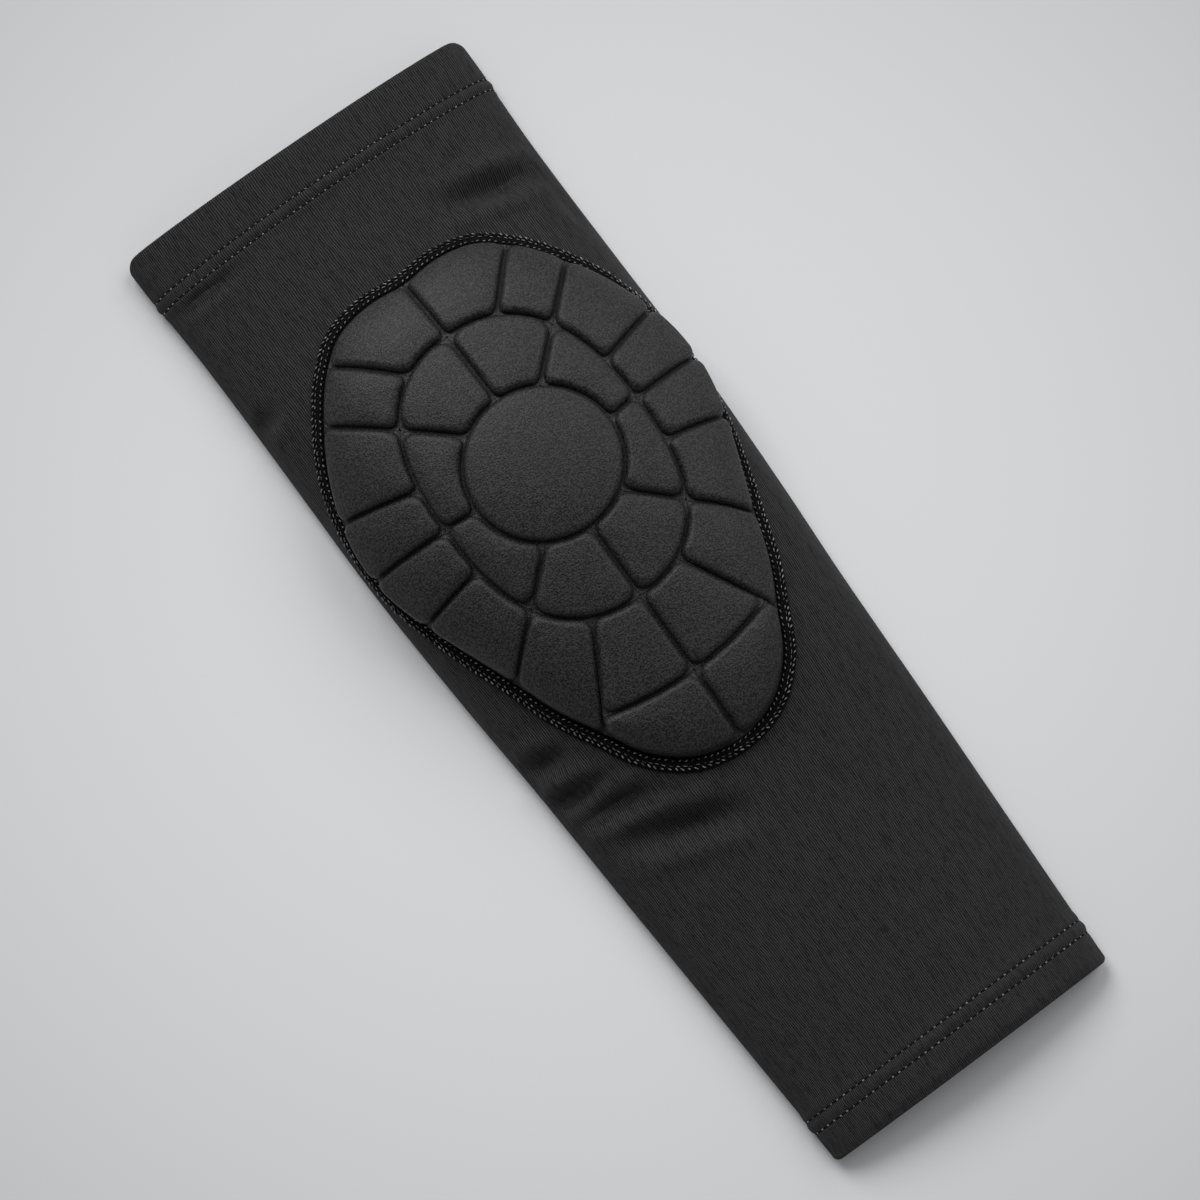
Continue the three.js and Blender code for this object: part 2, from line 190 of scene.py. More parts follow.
def tube_rings(along, out, roll=0.0):
    """Rings round the tube at each place along: over the arch from left to right, then back underneath.
    `out` moves the face out, or up off the floor where it moves in, and `roll` lowers the arch."""
    along, out = np.asarray(along, float)[:, None], np.asarray(out, float)[:, None]
    angle = np.linspace(-math.pi / 2, math.pi / 2, RING_STEPS["arch"] + 1)[None, :]
    half_width = read_column(TUBE, "along", "half_width", along) + out
    arch = read_column(TUBE, "along", "arch", along) + out - np.reshape(roll, (-1, 1))
    height = SIDE_HEIGHT + arch * arch_shape(angle)
    over = np.stack(np.broadcast_arrays(half_width * np.sin(angle), along, height), -1)
    angles, places = np.broadcast_arrays(angle, along)
    rise = fold_rise(across_at(angles, places), along)
    over += tube_normal(angles, places) * rise[..., None]
    near_side = np.clip(1 - (half_width - np.abs(half_width * np.sin(angle))) / SIDE_ROLL["reach"], 0, 1)
    over[..., 2] -= SIDE_ROLL["drop"] * near_side**2
    side_height = SIDE_HEIGHT - SIDE_ROLL["drop"]
    floor = np.maximum(-out, 0)
    turn = np.linspace(0, math.pi / 2, RING_STEPS["curl"] + 1)[None, 1:]
    curl_x = half_width - SIDE_CURL + SIDE_CURL * np.cos(turn)
    curl_z = side_height - (side_height - floor) * np.sin(turn)
    right = np.stack(np.broadcast_arrays(curl_x, along, curl_z), -1)
    left = right[:, ::-1] * (-1, 1, 1)
    share = np.linspace(1, -1, RING_STEPS["flat"] + 1)[None, 1:-1]
    under = np.stack(np.broadcast_arrays((half_width - SIDE_CURL) * share, along, floor), -1)
    return np.concatenate([over, right, under, left], axis=1)


def skin_faces(ring_count, point_count, joined=False):
    """Quads between neighbouring rings of equal length."""
    first_rings = np.arange(ring_count if joined else ring_count - 1)
    r, k = np.meshgrid(first_rings, np.arange(point_count), indexing="ij")
    low, high = r * point_count, (r + 1) % ring_count * point_count
    after = (k + 1) % point_count
    return np.stack([low + k, low + after, high + after, high + k], -1).reshape(-1, 4)


def new_piece(name, points, faces, material, corner_uv=None):
    """A smooth-shaded mesh in metres that rides on the one body of the pad."""
    mesh = bpy.data.meshes.new(name)
    mesh.from_pydata((np.asarray(points) * 0.001).tolist(), [], [list(f) for f in faces])
    mesh.polygons.foreach_set("use_smooth", np.ones(len(mesh.polygons), bool))
    if corner_uv is not None:
        mesh.uv_layers.new(name="cloth").data.foreach_set("uv", np.asarray(corner_uv, np.float32).ravel())
    mesh.materials.append(material)
    piece = bpy.data.objects.new(name, mesh)
    bpy.context.scene.collection.objects.link(piece)
    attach(piece, "root")
    return piece


def linear(hex_colour):
    """An sRGB hex colour as the linear colour that a shader takes."""
    parts = [int(hex_colour[i : i + 2], 16) / 255 for i in (1, 3, 5)]
    return (*[p / 12.92 if p <= 0.04045 else ((p + 0.055) / 1.055) ** 2.4 for p in parts], 1.0)


def add_node(material, kind, inputs, **settings):
    """Adds a node to a material. An input takes a value, or another node's output to link."""
    made = material.node_tree.nodes.new(kind)
    for name, value in settings.items():
        setattr(made, name, value)
    for name, value in inputs.items():
        if isinstance(value, bpy.types.NodeSocket):
            material.node_tree.links.new(value, made.inputs[name])
        else:
            made.inputs[name].default_value = value
    return made


# Warp knit: matte dyed yarn in fine wales along the leg, its colour following the relief, with painted shade
# between the wales and painted highlights on short slubs where the loops catch the light. The real wales are
# 0.7 mm apart, too fine to show here, and are drawn 0.85 mm apart.
WALE = 0.85
WALE_WAVER = 10.0
SLUB_LONG = 5.0
LOOP = 1.1
knit = bpy.data.materials.new("polyester_elastane_warp_knit")
knit.use_nodes = True
knit.node_tree.nodes.clear()
cloth_place = add_node(knit, "ShaderNodeUVMap", {}, uv_map="cloth")
waver = add_node(knit, "ShaderNodeTexNoise", {
    "Vector": cloth_place.outputs["UV"], "Scale": 1 / WALE_WAVER, "Detail": 2.0})
wavered = add_node(knit, "ShaderNodeMixRGB", {
    "Fac": 1.0, "Color1": cloth_place.outputs["UV"], "Color2": waver.outputs["Color"]}, blend_type="ADD")
# A wave texture of scale 1 has a band every pi / 10.
wales = add_node(knit, "ShaderNodeTexWave", {
    "Vector": wavered.outputs["Color"], "Scale": math.pi / 10 / WALE, "Distortion": 2.0, "Detail": 1.0,
    "Detail Scale": 1.5}, bands_direction="X")
slub_place = add_node(knit, "ShaderNodeMapping", {
    "Vector": wavered.outputs["Color"], "Scale": (1 / WALE, 1 / SLUB_LONG, 1.0)})
slubs = add_node(knit, "ShaderNodeTexNoise", {
    "Vector": slub_place.outputs["Vector"], "Scale": 1.0, "Detail": 2.0, "Roughness": 0.6})
ribs = add_node(knit, "ShaderNodeMath", {
    0: wales.outputs["Fac"], 1: slubs.outputs["Fac"]}, operation="MULTIPLY")
loops = add_node(knit, "ShaderNodeTexNoise", {
    "Vector": wavered.outputs["Color"], "Scale": 1 / LOOP, "Detail": 1.0, "Distortion": 1.0})
yarn_relief = add_node(knit, "ShaderNodeMath", {
    0: loops.outputs["Fac"], 1: 0.3, 2: ribs.outputs["Value"]}, operation="MULTIPLY_ADD")
# The yarn's colour follows its relief: painted shade low between the wales, painted highlight on the slubs.
yarn_dye_and_painted_wale_light = add_node(knit, "ShaderNodeValToRGB", {"Fac": yarn_relief.outputs["Value"]})
yarn_dye_and_painted_wale_light.color_ramp.elements[0].position = 0.25
yarn_dye_and_painted_wale_light.color_ramp.elements[0].color = linear("#030303")
yarn_dye_and_painted_wale_light.color_ramp.elements[1].position = 0.62
yarn_dye_and_painted_wale_light.color_ramp.elements[1].color = linear("#383838")
yarn_bump = add_node(knit, "ShaderNodeBump", {
    "Height": yarn_relief.outputs["Value"], "Strength": 0.8, "Distance": 0.0002})
yarn = add_node(knit, "ShaderNodeBsdfPrincipled", {
    "Base Color": yarn_dye_and_painted_wale_light.outputs["Color"], "Roughness": 0.8, "Specular IOR Level": 0.2,
    "Sheen Weight": 0.05, "Sheen Roughness": 0.5, "Normal": yarn_bump.outputs["Normal"]})
add_node(knit, "ShaderNodeOutputMaterial", {"Surface": yarn.outputs["BSDF"]})

# The tube's rings run outside from the calf edge to the thigh edge, round the fold of the thigh hem, back
# inside, and round the calf fold. They are closest over the hems, and inside where a second layer ends.
HEM_ZONE = 26.0
HEM_STEP = 0.55
SLEEVE_RINGS = 236
INSIDE_ZONE = 30.0
INSIDE_RINGS = 60
LAYER_STEP = 0.6
edge_round = HEM_CLOTH / 2
fold_turns = np.linspace(0, math.pi, 9)[1:-1]
hem_steps = np.arange(edge_round, HEM_ZONE, HEM_STEP)
sleeve_steps = np.linspace(-HALF_LENGTH + HEM_ZONE, HALF_LENGTH - HEM_ZONE, SLEEVE_RINGS)
outside_along = np.concatenate([-HALF_LENGTH + hem_steps, sleeve_steps, (HALF_LENGTH - hem_steps)[::-1]])
from_calf, from_thigh = outside_along + HALF_LENGTH, HALF_LENGTH - outside_along
outside_out = hem_out(from_calf, CALF_HEM) + hem_out(from_thigh, THIGH_HEM)
outside_roll = edge_roll(from_calf, CALF_HEM) + edge_roll(from_thigh, THIGH_HEM)
thigh_fold_along = HALF_LENGTH - edge_round + edge_round * np.sin(fold_turns)
fold_top, fold_bottom = hem_out(edge_round, THIGH_HEM), HEM_SWELL - HEM_CLOTH
fold_out = (fold_top + fold_bottom) / 2 + (fold_top - fold_bottom) / 2 * np.cos(fold_turns)
layer_end = np.array([-LAYER_STEP, 0.0, LAYER_STEP])
thigh_inside = np.array([edge_round, THIGH_HEM["halfway"], *(THIGH_HEM["depth"] + layer_end)])
calf_inside = np.array([edge_round, CALF_HEM["halfway"], *(CALF_HEM["depth"] + layer_end)])
sleeve_inside = np.linspace(HALF_LENGTH - INSIDE_ZONE, -HALF_LENGTH + HEM_ZONE, INSIDE_RINGS)
inside_along = np.concatenate([HALF_LENGTH - thigh_inside, sleeve_inside, -HALF_LENGTH + calf_inside[::-1]])
in_thigh_hem = HALF_LENGTH - inside_along < THIGH_HEM["depth"] + LAYER_STEP / 2
in_calf_hem = HALF_LENGTH + inside_along < CALF_HEM["depth"] + LAYER_STEP / 2
inside_out = np.where(in_thigh_hem | in_calf_hem, HEM_SWELL - HEM_CLOTH, -CLOTH)
tube_along = np.concatenate([outside_along, thigh_fold_along, inside_along, -thigh_fold_along[::-1]])
tube_out = np.concatenate([outside_out, fold_out, inside_out, fold_out[::-1]])
fold_share = (1 + np.cos(fold_turns)) / 2
thigh_roll, calf_roll = [edge_roll(edge_round, hem) * fold_share for hem in (THIGH_HEM, CALF_HEM)]
tube_roll = np.concatenate([outside_roll, thigh_roll, 0 * inside_out, calf_roll[::-1]])
rings = tube_rings(tube_along, tube_out, tube_roll)
# The open edges round off at the two sides of the tube, and stand out or draw back there.
for hem, end in ((THIGH_HEM, 1), (CALF_HEM, -1)):
    reach = np.abs(rings[..., 0]).max(axis=1, keepdims=True)
    past = np.clip((np.abs(rings[..., 0]) - reach + hem["corner"]) / hem["corner"], 0, 1)
    from_edge = HALF_LENGTH - end * rings[..., 1]
    near_edge = np.clip(1 - from_edge / (CORNER_REACH * hem["corner"]), 0, 1)
    near_hem = np.clip(1 - from_edge / hem["rows"][0], 0, 1)
    rings[..., 1] -= end * near_edge * hem["corner"] * (1 - np.sqrt(1 - past**2))
    rings[..., 1] += end * near_hem * hem["flare"] * (rings[..., 0] / reach) ** 2
ring_count, ring_points = rings.shape[:2]
tube_faces = skin_faces(ring_count, ring_points, joined=True)


def closed_run(loop):
    """A loop closed onto its first point, and the run along it to each of its points."""
    closed = np.vstack([loop, loop[:1]])
    return closed, np.concatenate([[0], np.cumsum(np.linalg.norm(np.diff(closed, axis=0), axis=1))])


# The cloth's own coordinates in millimetres: round the tube from the middle of the front, and along it.
round_from_left = closed_run(rings[len(hem_steps) + len(sleeve_steps) // 2])[1]
round_place = round_from_left - round_from_left[RING_STEPS["arch"]] / 2
ring_of_corner, point_of_corner = tube_faces // ring_points, tube_faces % ring_points
wrapped = (point_of_corner == 0) & (point_of_corner[:, [1, 0, 3, 2]] == ring_points - 1)
u = round_place[np.where(wrapped, ring_points, point_of_corner)]
v = tube_along[ring_of_corner]
knit_tube = new_piece("knit_tube", rings.reshape(-1, 3), tube_faces, knit, np.stack([u, v], -1))
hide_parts("sleeve", "thigh_hem", "calf_hem")


# Hem stitching. Twin-needle stitches in black polyester thread, two rows round each hem, pulled down into
# the knit: a black line in a furrow, with a painted highlight where each stitch turns over: a short thread
# in pale grey that stands in for the glint of light there.
HEM_STITCH = {"pitch": 2.75, "length": 2.7, "thread": 1.9, "sunk": 0.7}
HEM_PAINTED_GLINT = {"length": 0.75, "thread": 0.46, "sunk": -0.14}


def along_loop(at, run, closed):
    """Points of a closed loop, by the run along it."""
    return np.stack([np.interp(at, run, column, period=run[-1]) for column in closed.T], -1)


def thread_mesh(lines, normals, radii, sides=7, joined=False):
    """Threads swept along lines of points, with normals out of the cloth and radii along each thread."""
    lines, normals = np.asarray(lines, float), np.asarray(normals, float)
    if joined:
        tangents = np.roll(lines, -1, axis=1) - np.roll(lines, 1, axis=1)
    else:
        tangents = np.gradient(lines, axis=1)
    tangents /= np.linalg.norm(tangents, axis=-1, keepdims=True)
    sideways = np.cross(tangents, normals)
    sideways /= np.linalg.norm(sideways, axis=-1, keepdims=True)
    outwards = np.cross(sideways, tangents)
    turn = np.linspace(0, 2 * math.pi, sides, endpoint=False)
    spread = outwards[:, :, None] * np.cos(turn)[:, None] + sideways[:, :, None] * np.sin(turn)[:, None]
    points = lines[:, :, None] + spread * np.asarray(radii)[None, :, None, None]
    thread_count, section_count = lines.shape[:2]
    one = skin_faces(section_count, sides, joined)[:, ::-1]
    faces = []
    for first in range(0, thread_count * section_count * sides, section_count * sides):
        faces += (one + first).tolist()
        if not joined:
            stop = first + section_count * sides
            faces.append(list(range(first, first + sides)))
            faces.append(list(range(stop - sides, stop))[::-1])
    return points.reshape(-1, 3), faces


# Polyester thread: soft black filaments packed side by side, which take in nearly all the light.
FILAMENT = 0.35
thread = bpy.data.materials.new("black_polyester_thread")
thread.use_nodes = True
thread.node_tree.nodes.clear()
thread_place = add_node(thread, "ShaderNodeTexCoord", {})
filaments = add_node(thread, "ShaderNodeTexNoise", {
    "Vector": thread_place.outputs["Object"], "Scale": 1000 / FILAMENT, "Detail": 2.0})
thread_colour = add_node(thread, "ShaderNodeValToRGB", {"Fac": filaments.outputs["Fac"]})
thread_colour.color_ramp.elements[0].position = 0.35
thread_colour.color_ramp.elements[0].color = linear("#040404")
thread_colour.color_ramp.elements[1].position = 0.7
thread_colour.color_ramp.elements[1].color = linear("#161616")
thread_bump = add_node(thread, "ShaderNodeBump", {
    "Height": filaments.outputs["Fac"], "Strength": 0.8, "Distance": 0.0002})
thread_shader = add_node(thread, "ShaderNodeBsdfPrincipled", {
    "Base Color": thread_colour.outputs["Color"], "Roughness": 0.9, "Specular IOR Level": 0.1,
    "Normal": thread_bump.outputs["Normal"]})
add_node(thread, "ShaderNodeOutputMaterial", {"Surface": thread_shader.outputs["BSDF"]})

# Painted highlights: the same black thread coloured pale grey, standing in for the glint of light where it
# turns over on the hems and over the seam's loops.
PAINTED_GLINT_SPACING = 2.0
painted_highlight_thread = bpy.data.materials.new("polyester_thread_painted_highlight")
painted_highlight_thread.use_nodes = True
painted_highlight_thread.node_tree.nodes.clear()
painted_highlight_place = add_node(painted_highlight_thread, "ShaderNodeTexCoord", {})
painted_glints = add_node(painted_highlight_thread, "ShaderNodeTexNoise", {
    "Vector": painted_highlight_place.outputs["Object"], "Scale": 1000 / PAINTED_GLINT_SPACING, "Detail": 1.0})
painted_highlight_colour = add_node(painted_highlight_thread, "ShaderNodeValToRGB", {"Fac": painted_glints.outputs["Fac"]})
painted_highlight_colour.color_ramp.elements[0].position = 0.35
painted_highlight_colour.color_ramp.elements[0].color = linear("#363636")
painted_highlight_colour.color_ramp.elements[1].position = 0.65
painted_highlight_colour.color_ramp.elements[1].color = linear("#8c8c8c")
painted_highlight_shader = add_node(painted_highlight_thread, "ShaderNodeBsdfPrincipled", {
    "Base Color": painted_highlight_colour.outputs["Color"], "Roughness": 0.4, "Specular IOR Level": 0.6})
add_node(painted_highlight_thread, "ShaderNodeOutputMaterial", {"Surface": painted_highlight_shader.outputs["BSDF"]})

# Sections of a stitch from end to end, and its thickness there: full along most of it, with blunt ends.
BLUNT = {"spread": 1.9, "power": 6, "least": 0.05}
step = np.linspace(-0.5, 0.5, 9)
blunt = np.sqrt(np.clip(1 - (BLUNT["spread"] * step) ** BLUNT["power"], BLUNT["least"], 1))
for hem_name, hem, end in (("thigh", THIGH_HEM, 1), ("calf", CALF_HEM, -1)):
    for kind, material, shift, made in (
        ("stitches", thread, 0.0, HEM_STITCH),
        ("painted_glints", painted_highlight_thread, 0.5, HEM_PAINTED_GLINT),
    ):
        lines, normals = [], []
        for row in hem["rows"]:
            ring, run = closed_run(tube_rings([end * (HALF_LENGTH - row)], [hem_out(row, hem)])[0])
            count = round(run[-1] / HEM_STITCH["pitch"])
            for stitch in range(count):
                at = (stitch + shift) * run[-1] / count + step * made["length"]
                line = along_loop(at, run, ring)
                tangent = np.gradient(line, axis=0)
                normal = np.stack([-tangent[:, 2], 0 * tangent[:, 1], tangent[:, 0]], -1)
                normal /= np.linalg.norm(normal, axis=-1, keepdims=True)
                lines.append(line - normal * made["sunk"])
                normals.append(normal)
        points, faces = thread_mesh(lines, normals, made["thread"] / 2 * blunt)
        points[:, 2] = np.maximum(points[:, 2], 0)
        new_piece(f"{hem_name}_hem_{kind}", points, faces, material)


# Pad backing. A thin cloth-faced foam sheet that lies on the knit, cut to the pad's outline and sewn in all
# round. The outline is drawn flat, by bearing round the kneecap in degrees, 90 towards the thigh, and reach.
KNEE = 47.4
EDGE = {
    "bearing": [-90, -82, -74, -67, -59, -47, -33, -17, 4, 22, 48, 64, 71, 80, 90],
    "reach": [114.0, 111.7, 103.6, 93.1, 84.7, 74.3, 68.7, 67.1, 70.0, 72.6, 78.1, 84.5, 87.0, 86.3, 83.8],
}
BACKING = {"lift": 0.5, "thick": 1.2, "margin": 0.3, "points": 240}
# Rings of the sheet's faces, as shares of the way from the kneecap to the edge.
BACKING_SHARES = [0.15, 0.3, 0.45, 0.6, 0.72, 0.82, 0.9, 0.96, 1.0]


def from_knee(bearing, reach, middle=KNEE):
    turn = np.radians(bearing)
    return np.stack([reach * np.cos(turn), middle + reach * np.sin(turn)], -1)


def on_edge(bearing):
    return from_knee(bearing, read_column(EDGE, "bearing", "reach", bearing))


def edge_loop(out, count):
    """The pad's outline moved outwards by `out`, from the shin round by the right."""
    right = np.linspace(-90, 90, count // 2, endpoint=False) + 90 / (count // 2)
    nudge = 0.2
    ahead = on_edge(np.minimum(right + nudge, 90)) - on_edge(np.maximum(right - nudge, -90))
    ahead /= np.linalg.norm(ahead, axis=-1, keepdims=True)
    half = on_edge(right) + out * np.stack([ahead[:, 1], -ahead[:, 0]], -1)
    return np.concatenate([half, half[::-1] * (-1, 1)])


# Cloth-faced EVA foam: a soft brushed face pressed onto closed-cell foam, dull, with a fine pebbled grain.
# The real grain is about 0.5 mm, and is drawn at 0.6 mm so that it shows.
GRAIN = 0.6
foam = bpy.data.materials.new("cloth_faced_eva_foam")
foam.use_nodes = True
foam.node_tree.nodes.clear()
foam_place = add_node(foam, "ShaderNodeTexCoord", {})
pebbles = add_node(foam, "ShaderNodeTexNoise", {
    "Vector": foam_place.outputs["Object"], "Scale": 1000 / GRAIN, "Detail": 1.0, "Distortion": 0.6})
foam_colour = add_node(foam, "ShaderNodeValToRGB", {"Fac": pebbles.outputs["Fac"]})
foam_colour.color_ramp.elements[0].position = 0.43
foam_colour.color_ramp.elements[0].color = linear("#101010")
foam_colour.color_ramp.elements[1].position = 0.58
foam_colour.color_ramp.elements[1].color = linear("#323232")
foam_bump = add_node(foam, "ShaderNodeBump", {
    "Height": pebbles.outputs["Fac"], "Strength": 0.9, "Distance": 0.00026})
foam_shader = add_node(foam, "ShaderNodeBsdfPrincipled", {
    "Base Color": foam_colour.outputs["Color"], "Roughness": 0.46, "Specular IOR Level": 0.28,
    "Normal": foam_bump.outputs["Normal"]})
add_node(foam, "ShaderNodeOutputMaterial", {"Surface": foam_shader.outputs["BSDF"]})

backing_rings = []
edge = edge_loop(BACKING["margin"], BACKING["points"])
for lift, shares in (
    (BACKING["lift"], BACKING_SHARES),
    (BACKING["lift"] + BACKING["thick"], BACKING_SHARES[::-1]),
):
    for share in shares:
        flat = (edge - (0, KNEE)) * share + (0, KNEE)
        backing_rings.append(wrap(flat[:, 0], flat[:, 1], np.full(len(flat), lift)))
points = np.concatenate(backing_rings)
faces = skin_faces(len(backing_rings), len(edge)).tolist()
faces += [list(range(len(edge)))[::-1], list(range(len(points) - len(edge), len(points)))]
pad_backing = new_piece("pad_backing_sheet", points, faces, foam)
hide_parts("pad_backing")


# Pad seam. A black overlocked band that sews the backing to the knit all round: a looper thread laced to and
# fro between a row of loops at each edge, with a thin row of needle stitches down its middle.
SEAM = {"from_blocks": 1.1, "toward_thigh": 0.6, "width": 5.2, "pitch": 2.3}
SEAM_THREAD = {"looper": 0.4, "loop": 0.47, "inner_share": 0.85, "needle": 0.3, "row": 1.45}
SEAM_POINTS = {"band": 520, "middle": 1440}
# Section of the band from its inner edge to its outer one: share of its width, and lift off the knit.
SEAM_SECTION = {
    "out": [0.02, 0.0, 0.15, 0.35, 0.6, 0.85, 0.97, 1.0],
    "lift": [0.35, 0.8, 1.3, 1.55, 1.5, 1.1, 0.7, 0.35],
}


def seam_loop(out, count):
    """A line along the seam in the flat, at a share of its width."""
    return edge_loop(SEAM["from_blocks"] + out * SEAM["width"], count) + (0, SEAM["toward_thigh"])


seam_rings = []
for out, lift in zip(*SEAM_SECTION.values()):
    flat = seam_loop(out, SEAM_POINTS["band"])
    seam_rings.append(wrap(flat[:, 0], flat[:, 1], np.full(len(flat), lift)))
points = np.concatenate(seam_rings)
faces = skin_faces(len(seam_rings), SEAM_POINTS["band"], joined=True)[:, ::-1]
seam_band = new_piece("pad_seam_band", points, faces, thread)
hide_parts("pad_seam")

# The seam's middle line in the flat, and the run along it.
middle, seam_run = closed_run(seam_loop(0.5, SEAM_POINTS["middle"]))
loop_count = round(seam_run[-1] / SEAM["pitch"])
pitch = seam_run[-1] / loop_count


def on_seam(run, off, lift):
    """Points and outward normals over the seam, by run along its middle line and place across it."""
    nudge = 0.5
    at = along_loop(run, seam_run, middle)
    ahead = along_loop(run + nudge, seam_run, middle) - at
    ahead /= np.linalg.norm(ahead, axis=-1, keepdims=True)
    flat = at + np.asarray(off)[..., None] * np.stack([ahead[..., 1], -ahead[..., 0]], -1)
    placed = wrap(flat[..., 0], flat[..., 1], lift)
    above = wrap(flat[..., 0], flat[..., 1], lift + 1.0)
    return placed, above - placed


# The looper thread swings across the band once for each loop.
LACING = {"points": 24, "lean": 0.16, "reach": 1.75, "lift": 1.45, "rise": 0.2}
beat = np.arange(loop_count * LACING["points"]) / LACING["points"]
swing = 2 * math.pi * beat
lacing_run = pitch * (beat + LACING["lean"] * np.sin(2 * swing))
lacing_lift = LACING["lift"] + LACING["rise"] * np.cos(swing) ** 2
lines, normals = on_seam(lacing_run, LACING["reach"] * np.cos(swing), lacing_lift)
radii = np.full(len(beat), SEAM_THREAD["looper"] / 2)
points, faces = thread_mesh(lines[None], normals[None], radii, joined=True)
new_piece("pad_seam_lacing", points, faces, thread)

# Stitches on the band, highest in their middle, drawn in pale grey as painted highlights on the black
# thread.
# No two lie quite alike.
UNEVEN = {"place": 0.13, "length": 0.3, "off": 0.16, "slant": 0.6}
LOOP_LIFT = {"ends": 1.65, "swell": 0.25}
loop_lift = LOOP_LIFT["ends"] + LOOP_LIFT["swell"] * (1 - (2 * step) ** 4)
uneven = np.random.default_rng(4)
for name, thick, off, start, length, slant in (
    ("outer_loops", SEAM_THREAD["loop"], SEAM_THREAD["row"], 0.0, 1.0, 0.55),
    ("inner_loops", SEAM_THREAD["loop"] * SEAM_THREAD["inner_share"], -SEAM_THREAD["row"], 0.5, 0.8, -0.4),
    ("needle", SEAM_THREAD["needle"], 0.35, 0.25, 1.2, 0.15),
):
    wander = uneven.uniform(-1, 1, (4, loop_count, 1))
    place, stretch, aside, lean = [UNEVEN[key] * drawn for key, drawn in zip(UNEVEN, wander)]
    run = (np.arange(loop_count)[:, None] + start + place) * pitch + length * (1 + stretch) * step
    across = off + aside + slant * (1 + lean) * step
    lines, normals = on_seam(run, across, loop_lift + 0 * run)
    points, faces = thread_mesh(lines, normals, thick / 2 * blunt)
    new_piece("pad_seam_" + name, points, faces, painted_highlight_thread)


# Foam blocks. Closed-cell foam pressed in a mould with its cloth face: a disc over the kneecap, a ring of
# blocks round it and an outer ring down over the shin. Rounded grooves part them, so the pad bends with the
# knee.
CAP_RADIUS = 27.0
RING = {"middle": 47.8, "half_width": 39.0, "half_height": 56.2, "squareness": 2.4}
SHIN = {"middle": -39.5, "half_width": 33.3, "rise": 5.5}
GROOVE = 1.5
GROOVE_DEPTH = 3.0
BLOCK_BASE = 2.2
BLOCK_TOP = 10.2
FOOT_LIFT = 1.75
SEAM_CORNER = 3.0
CORNER_LIMIT = 0.45
OUTLINE_POINTS = {"corner": 8, "side": 14, "cap": 120}
# Towards the seam an outer block's edge comes down to the band, from this share of its depth on.
SEAM_LIP = {"lift": 2.6, "from_depth": 0.93}
# Rings of a face, as shares of the way from its middle to its edge.
FACE_SHARES = (0.96, 0.9, 0.82, 0.7, 0.5, 0.25)
# Swell of a face over its edge. The disc is level in its middle and falls off near its rim.
CAP_CROWN = {"height": 0.8, "power": 4}
BLOCK_CROWN = {"height": 0.5, "power": 2}
# Share of its height that an outer block loses at the seam: `side` where the pad wraps round the sides of
# the tube, up to 12 degrees off level, and `end` from 36 degrees on.
OUTER_THINNING = {"side": 0.25, "end": 0.5, "side_up_to": 12, "end_from": 36}
# Grooves of the right half from the top down: bearings on the inner and the outer curve of each ring.
INNER_GROOVES = {"cap": [90, 57.2, 0, -56, -90], "ring": [90, 51.2, 2, -50.5, -90]}
OUTER_GROOVES = {"ring": [90, 71.5, 51.2, 24.7, 1, -23.7, -50.5, -72],
                 "edge": [90, 63.2, 48.9, 22.6, 3.7, -16.9, -47.2, -67.5]}
# Section of a block from the middle of its groove up to its face: how far in from its edge, radius of its
# corners, and share of the way up from the groove's floor. Above the floor it is a quarter round.
EDGE_ROUND = {"draw_in": -0.35, "reach": 2.3, "corner": 3.8, "corner_reach": 1.2}
turns = np.radians([0, 9, 18, 28, 38, 48, 58, 68, 79, 90])
rounded = 1 - np.cos(turns)
BLOCK_EDGE = {
    "draw_in": [-0.71, -0.58, *(EDGE_ROUND["draw_in"] + EDGE_ROUND["reach"] * rounded)],
    "corner": [0.4, 1.2, *(EDGE_ROUND["corner"] + EDGE_ROUND["corner_reach"] * rounded)],
    "up": [0.16, 0.14, *np.sin(turns)],
}


def on_ring(bearing):
    turn, n = np.radians(bearing), RING["squareness"]
    wide = np.abs(np.cos(turn) / RING["half_width"]) ** n
    high = np.abs(np.sin(turn) / RING["half_height"]) ** n
    return from_knee(bearing, (wide + high) ** (-1 / n), RING["middle"])


def on_shin(across):
    return np.stack([across, SHIN["middle"] + SHIN["rise"] * (across / SHIN["half_width"]) ** 2], -1)


